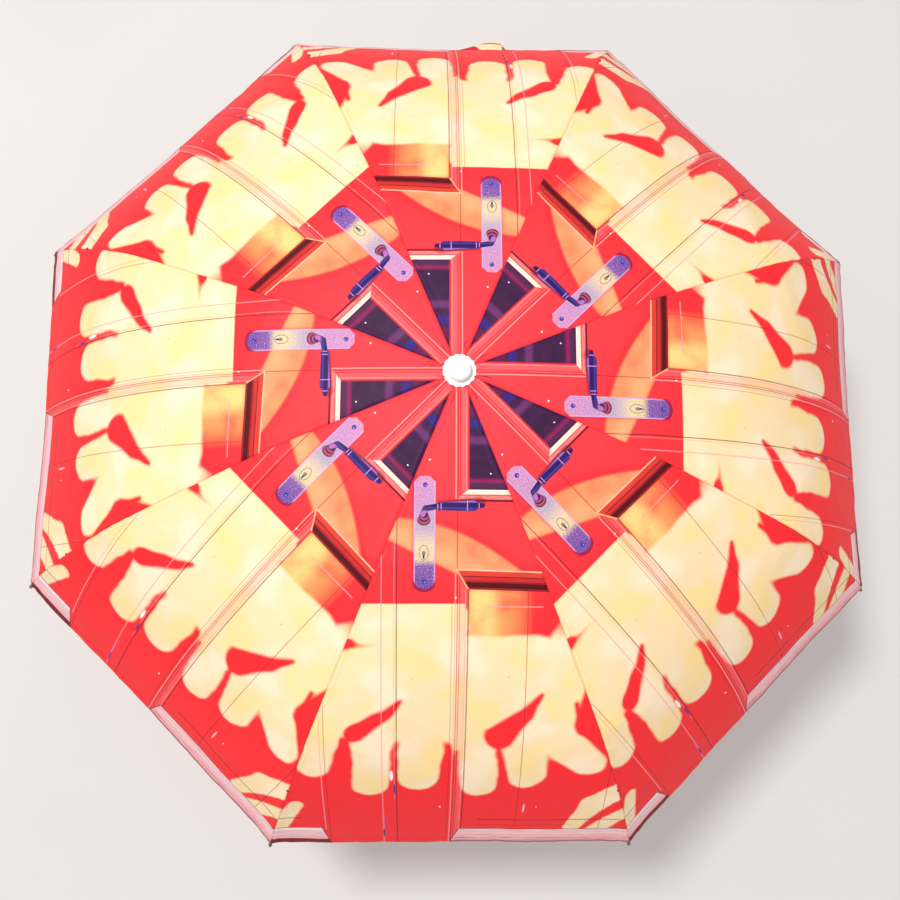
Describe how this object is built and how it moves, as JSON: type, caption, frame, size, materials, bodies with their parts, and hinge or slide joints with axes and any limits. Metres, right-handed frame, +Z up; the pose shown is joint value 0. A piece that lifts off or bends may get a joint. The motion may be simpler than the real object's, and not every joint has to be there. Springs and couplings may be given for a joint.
{
  "type": "folding umbrella",
  "caption": "Open folding umbrella: domed printed canopy on folding ribs, telescoping shaft, sliding runner with release button and a short straight handle.",
  "frame": {"origin": "centre of the handle's bottom face", "axes": "+Z up along the shaft; ribs at 22.5 degrees plus 45 degrees times k; the closure strap is on the +Y hem"},
  "size_m": [0.8902, 0.896, 0.596],
  "materials": {
    "canopy_cloth": "satin woven polyester with a printed pattern",
    "white_gloss": "gloss",
    "grip_plastic": "matte soft-touch",
    "black_trim": "satin",
    "shaft_steel": "satin",
    "shaft_black": "satin",
    "spring_steel": "satin",
    "black_nylon": "satin moulded",
    "button_grey": "satin",
    "rib_steel": "satin",
    "rib_aluminium": "satin",
    "rib_rod": "satin glass-fibre rod with a dark tip",
    "hook_tape": "matte hook-and-loop"
  },
  "bodies": {
    "handle": {"handle_grip": "grip_plastic", "handle_end_plug": "black_trim", "handle_collar": "black_trim", "lower_tube": "shaft_steel", "lower_tube_detent": "spring_steel"},
    "middle_shaft": {"middle_tube": "shaft_steel", "middle_tube_detent": "spring_steel"},
    "top_shaft": {"top_tube": "shaft_black", "crown": "black_nylon", "crown_ring_wire": "spring_steel", "canopy_washer": "white_gloss", "canopy_cap": "white_gloss", "canopy_panel_1": "canopy_cloth", "canopy_panel_2": "canopy_cloth", "canopy_panel_3": "canopy_cloth", "canopy_panel_4": "canopy_cloth", "canopy_panel_5": "canopy_cloth", "canopy_panel_6": "canopy_cloth", "canopy_panel_7": "canopy_cloth", "canopy_panel_8": "canopy_cloth", "closure_strap": "canopy_cloth", "closure_tab": "hook_tape"},
    "runner": {"runner": "black_nylon", "runner_button_spring": "spring_steel"},
    "runner_button": {"runner_button": "button_grey"},
    "main_rib_1": {"main_rib_1": "rib_steel"},
    "middle_rib_1": {"middle_rib_1": "rib_aluminium"},
    "outer_rib_1": {"outer_rib_1": "rib_rod"},
    "stretcher_1": {"stretcher_1": "rib_steel"},
    "main_rib_2": {"main_rib_2": "rib_steel"},
    "middle_rib_2": {"middle_rib_2": "rib_aluminium"},
    "outer_rib_2": {"outer_rib_2": "rib_rod"},
    "stretcher_2": {"stretcher_2": "rib_steel"},
    "main_rib_3": {"main_rib_3": "rib_steel"},
    "middle_rib_3": {"middle_rib_3": "rib_aluminium"},
    "outer_rib_3": {"outer_rib_3": "rib_rod"},
    "stretcher_3": {"stretcher_3": "rib_steel"},
    "main_rib_4": {"main_rib_4": "rib_steel"},
    "middle_rib_4": {"middle_rib_4": "rib_aluminium"},
    "outer_rib_4": {"outer_rib_4": "rib_rod"},
    "stretcher_4": {"stretcher_4": "rib_steel"},
    "main_rib_5": {"main_rib_5": "rib_steel"},
    "middle_rib_5": {"middle_rib_5": "rib_aluminium"},
    "outer_rib_5": {"outer_rib_5": "rib_rod"},
    "stretcher_5": {"stretcher_5": "rib_steel"},
    "main_rib_6": {"main_rib_6": "rib_steel"},
    "middle_rib_6": {"middle_rib_6": "rib_aluminium"},
    "outer_rib_6": {"outer_rib_6": "rib_rod"},
    "stretcher_6": {"stretcher_6": "rib_steel"},
    "main_rib_7": {"main_rib_7": "rib_steel"},
    "middle_rib_7": {"middle_rib_7": "rib_aluminium"},
    "outer_rib_7": {"outer_rib_7": "rib_rod"},
    "stretcher_7": {"stretcher_7": "rib_steel"},
    "main_rib_8": {"main_rib_8": "rib_steel"},
    "middle_rib_8": {"middle_rib_8": "rib_aluminium"},
    "outer_rib_8": {"outer_rib_8": "rib_rod"},
    "stretcher_8": {"stretcher_8": "rib_steel"}
  },
  "joints": [
    {"name": "lower_slide", "type": "slide", "parent": "handle", "child": "middle_shaft", "axis": [0, 0, -1], "range_m": [0, 0.15]},
    {"name": "upper_slide", "type": "slide", "parent": "middle_shaft", "child": "top_shaft", "axis": [0, 0, -1], "range_m": [0, 0.15]},
    {"name": "runner_slide", "type": "slide", "parent": "top_shaft", "child": "runner", "axis": [0, 0, -1], "range_m": [0, 0.1109], "deforming": ["canopy_panel_1", "canopy_panel_2", "canopy_panel_3", "canopy_panel_4", "canopy_panel_5", "canopy_panel_6", "canopy_panel_7", "canopy_panel_8", "closure_strap", "closure_tab"]},
    {"name": "runner_button_press", "type": "slide", "parent": "runner", "child": "runner_button", "axis": [-1, 0, 0], "range_m": [0, 0.0012], "stiffness_N_per_m": 500, "springref_m": -0.001, "deforming": ["runner_button_spring"]},
    {"name": "main_rib_1_hinge", "type": "hinge", "parent": "top_shaft", "child": "main_rib_1", "pos_m": [0.0097, 0.00402, 0.58211], "axis": [-0.3827, 0.9239, 0], "range_deg": [0, 82.02]},
    {"name": "middle_rib_1_hinge", "type": "hinge", "parent": "main_rib_1", "child": "middle_rib_1", "pos_m": [0.16652, 0.06897, 0.57166], "axis": [0.3827, -0.9239, 0], "range_deg": [0, 190.47]},
    {"name": "outer_rib_1_hinge", "type": "hinge", "parent": "middle_rib_1", "child": "outer_rib_1", "pos_m": [0.31701, 0.13131, 0.50828], "axis": [-0.3827, 0.9239, 0], "range_deg": [0, 150.53]},
    {"name": "stretcher_1_hinge", "type": "hinge", "parent": "main_rib_1", "child": "stretcher_1", "pos_m": [0.08129, 0.03367, 0.57255], "axis": [0.3827, -0.9239, 0], "range_deg": [0, 138.54]},
    {"name": "main_rib_2_hinge", "type": "hinge", "parent": "top_shaft", "child": "main_rib_2", "pos_m": [0.00402, 0.0097, 0.58211], "axis": [-0.9239, 0.3827, 0], "range_deg": [0, 82.02]},
    {"name": "middle_rib_2_hinge", "type": "hinge", "parent": "main_rib_2", "child": "middle_rib_2", "pos_m": [0.06897, 0.16652, 0.57166], "axis": [0.9239, -0.3827, 0], "range_deg": [0, 190.47]},
    {"name": "outer_rib_2_hinge", "type": "hinge", "parent": "middle_rib_2", "child": "outer_rib_2", "pos_m": [0.13131, 0.31701, 0.50828], "axis": [-0.9239, 0.3827, 0], "range_deg": [0, 150.53]},
    {"name": "stretcher_2_hinge", "type": "hinge", "parent": "main_rib_2", "child": "stretcher_2", "pos_m": [0.03367, 0.08129, 0.57255], "axis": [0.9239, -0.3827, 0], "range_deg": [0, 138.54]},
    {"name": "main_rib_3_hinge", "type": "hinge", "parent": "top_shaft", "child": "main_rib_3", "pos_m": [-0.00402, 0.0097, 0.58211], "axis": [-0.9239, -0.3827, 0], "range_deg": [0, 82.02]},
    {"name": "middle_rib_3_hinge", "type": "hinge", "parent": "main_rib_3", "child": "middle_rib_3", "pos_m": [-0.06897, 0.16652, 0.57166], "axis": [0.9239, 0.3827, 0], "range_deg": [0, 190.47]},
    {"name": "outer_rib_3_hinge", "type": "hinge", "parent": "middle_rib_3", "child": "outer_rib_3", "pos_m": [-0.13131, 0.31701, 0.50828], "axis": [-0.9239, -0.3827, 0], "range_deg": [0, 150.53]},
    {"name": "stretcher_3_hinge", "type": "hinge", "parent": "main_rib_3", "child": "stretcher_3", "pos_m": [-0.03367, 0.08129, 0.57255], "axis": [0.9239, 0.3827, 0], "range_deg": [0, 138.54]},
    {"name": "main_rib_4_hinge", "type": "hinge", "parent": "top_shaft", "child": "main_rib_4", "pos_m": [-0.0097, 0.00402, 0.58211], "axis": [-0.3827, -0.9239, 0], "range_deg": [0, 82.02]},
    {"name": "middle_rib_4_hinge", "type": "hinge", "parent": "main_rib_4", "child": "middle_rib_4", "pos_m": [-0.16652, 0.06897, 0.57166], "axis": [0.3827, 0.9239, 0], "range_deg": [0, 190.47]},
    {"name": "outer_rib_4_hinge", "type": "hinge", "parent": "middle_rib_4", "child": "outer_rib_4", "pos_m": [-0.31701, 0.13131, 0.50828], "axis": [-0.3827, -0.9239, 0], "range_deg": [0, 150.53]},
    {"name": "stretcher_4_hinge", "type": "hinge", "parent": "main_rib_4", "child": "stretcher_4", "pos_m": [-0.08129, 0.03367, 0.57255], "axis": [0.3827, 0.9239, 0], "range_deg": [0, 138.54]},
    {"name": "main_rib_5_hinge", "type": "hinge", "parent": "top_shaft", "child": "main_rib_5", "pos_m": [-0.0097, -0.00402, 0.58211], "axis": [0.3827, -0.9239, 0], "range_deg": [0, 82.02]},
    {"name": "middle_rib_5_hinge", "type": "hinge", "parent": "main_rib_5", "child": "middle_rib_5", "pos_m": [-0.16652, -0.06897, 0.57166], "axis": [-0.3827, 0.9239, 0], "range_deg": [0, 190.47]},
    {"name": "outer_rib_5_hinge", "type": "hinge", "parent": "middle_rib_5", "child": "outer_rib_5", "pos_m": [-0.31701, -0.13131, 0.50828], "axis": [0.3827, -0.9239, 0], "range_deg": [0, 150.53]},
    {"name": "stretcher_5_hinge", "type": "hinge", "parent": "main_rib_5", "child": "stretcher_5", "pos_m": [-0.08129, -0.03367, 0.57255], "axis": [-0.3827, 0.9239, 0], "range_deg": [0, 138.54]},
    {"name": "main_rib_6_hinge", "type": "hinge", "parent": "top_shaft", "child": "main_rib_6", "pos_m": [-0.00402, -0.0097, 0.58211], "axis": [0.9239, -0.3827, 0], "range_deg": [0, 82.02]},
    {"name": "middle_rib_6_hinge", "type": "hinge", "parent": "main_rib_6", "child": "middle_rib_6", "pos_m": [-0.06897, -0.16652, 0.57166], "axis": [-0.9239, 0.3827, 0], "range_deg": [0, 190.47]},
    {"name": "outer_rib_6_hinge", "type": "hinge", "parent": "middle_rib_6", "child": "outer_rib_6", "pos_m": [-0.13131, -0.31701, 0.50828], "axis": [0.9239, -0.3827, 0], "range_deg": [0, 150.53]},
    {"name": "stretcher_6_hinge", "type": "hinge", "parent": "main_rib_6", "child": "stretcher_6", "pos_m": [-0.03367, -0.08129, 0.57255], "axis": [-0.9239, 0.3827, 0], "range_deg": [0, 138.54]},
    {"name": "main_rib_7_hinge", "type": "hinge", "parent": "top_shaft", "child": "main_rib_7", "pos_m": [0.00402, -0.0097, 0.58211], "axis": [0.9239, 0.3827, 0], "range_deg": [0, 82.02]},
    {"name": "middle_rib_7_hinge", "type": "hinge", "parent": "main_rib_7", "child": "middle_rib_7", "pos_m": [0.06897, -0.16652, 0.57166], "axis": [-0.9239, -0.3827, 0], "range_deg": [0, 190.47]},
    {"name": "outer_rib_7_hinge", "type": "hinge", "parent": "middle_rib_7", "child": "outer_rib_7", "pos_m": [0.13131, -0.31701, 0.50828], "axis": [0.9239, 0.3827, 0], "range_deg": [0, 150.53]},
    {"name": "stretcher_7_hinge", "type": "hinge", "parent": "main_rib_7", "child": "stretcher_7", "pos_m": [0.03367, -0.08129, 0.57255], "axis": [-0.9239, -0.3827, 0], "range_deg": [0, 138.54]},
    {"name": "main_rib_8_hinge", "type": "hinge", "parent": "top_shaft", "child": "main_rib_8", "pos_m": [0.0097, -0.00402, 0.58211], "axis": [0.3827, 0.9239, 0], "range_deg": [0, 82.02]},
    {"name": "middle_rib_8_hinge", "type": "hinge", "parent": "main_rib_8", "child": "middle_rib_8", "pos_m": [0.16652, -0.06897, 0.57166], "axis": [-0.3827, -0.9239, 0], "range_deg": [0, 190.47]},
    {"name": "outer_rib_8_hinge", "type": "hinge", "parent": "middle_rib_8", "child": "outer_rib_8", "pos_m": [0.31701, -0.13131, 0.50828], "axis": [0.3827, 0.9239, 0], "range_deg": [0, 150.53]},
    {"name": "stretcher_8_hinge", "type": "hinge", "parent": "main_rib_8", "child": "stretcher_8", "pos_m": [0.08129, -0.03367, 0.57255], "axis": [-0.3827, -0.9239, 0], "range_deg": [0, 138.54]}
  ],
  "couplings": [
    {"joint": "main_rib_1_hinge", "follows": "runner_slide", "rad_per_m": 12.9},
    {"joint": "middle_rib_1_hinge", "follows": "runner_slide", "rad_per_m": 29.968},
    {"joint": "outer_rib_1_hinge", "follows": "runner_slide", "rad_per_m": 23.682},
    {"joint": "stretcher_1_hinge", "follows": "runner_slide", "rad_per_m": 21.796},
    {"joint": "main_rib_2_hinge", "follows": "runner_slide", "rad_per_m": 12.9},
    {"joint": "middle_rib_2_hinge", "follows": "runner_slide", "rad_per_m": 29.968},
    {"joint": "outer_rib_2_hinge", "follows": "runner_slide", "rad_per_m": 23.682},
    {"joint": "stretcher_2_hinge", "follows": "runner_slide", "rad_per_m": 21.796},
    {"joint": "main_rib_3_hinge", "follows": "runner_slide", "rad_per_m": 12.9},
    {"joint": "middle_rib_3_hinge", "follows": "runner_slide", "rad_per_m": 29.968},
    {"joint": "outer_rib_3_hinge", "follows": "runner_slide", "rad_per_m": 23.682},
    {"joint": "stretcher_3_hinge", "follows": "runner_slide", "rad_per_m": 21.796},
    {"joint": "main_rib_4_hinge", "follows": "runner_slide", "rad_per_m": 12.9},
    {"joint": "middle_rib_4_hinge", "follows": "runner_slide", "rad_per_m": 29.968},
    {"joint": "outer_rib_4_hinge", "follows": "runner_slide", "rad_per_m": 23.682},
    {"joint": "stretcher_4_hinge", "follows": "runner_slide", "rad_per_m": 21.796},
    {"joint": "main_rib_5_hinge", "follows": "runner_slide", "rad_per_m": 12.9},
    {"joint": "middle_rib_5_hinge", "follows": "runner_slide", "rad_per_m": 29.968},
    {"joint": "outer_rib_5_hinge", "follows": "runner_slide", "rad_per_m": 23.682},
    {"joint": "stretcher_5_hinge", "follows": "runner_slide", "rad_per_m": 21.796},
    {"joint": "main_rib_6_hinge", "follows": "runner_slide", "rad_per_m": 12.9},
    {"joint": "middle_rib_6_hinge", "follows": "runner_slide", "rad_per_m": 29.968},
    {"joint": "outer_rib_6_hinge", "follows": "runner_slide", "rad_per_m": 23.682},
    {"joint": "stretcher_6_hinge", "follows": "runner_slide", "rad_per_m": 21.796},
    {"joint": "main_rib_7_hinge", "follows": "runner_slide", "rad_per_m": 12.9},
    {"joint": "middle_rib_7_hinge", "follows": "runner_slide", "rad_per_m": 29.968},
    {"joint": "outer_rib_7_hinge", "follows": "runner_slide", "rad_per_m": 23.682},
    {"joint": "stretcher_7_hinge", "follows": "runner_slide", "rad_per_m": 21.796},
    {"joint": "main_rib_8_hinge", "follows": "runner_slide", "rad_per_m": 12.9},
    {"joint": "middle_rib_8_hinge", "follows": "runner_slide", "rad_per_m": 29.968},
    {"joint": "outer_rib_8_hinge", "follows": "runner_slide", "rad_per_m": 23.682},
    {"joint": "stretcher_8_hinge", "follows": "runner_slide", "rad_per_m": 21.796}
  ]
}
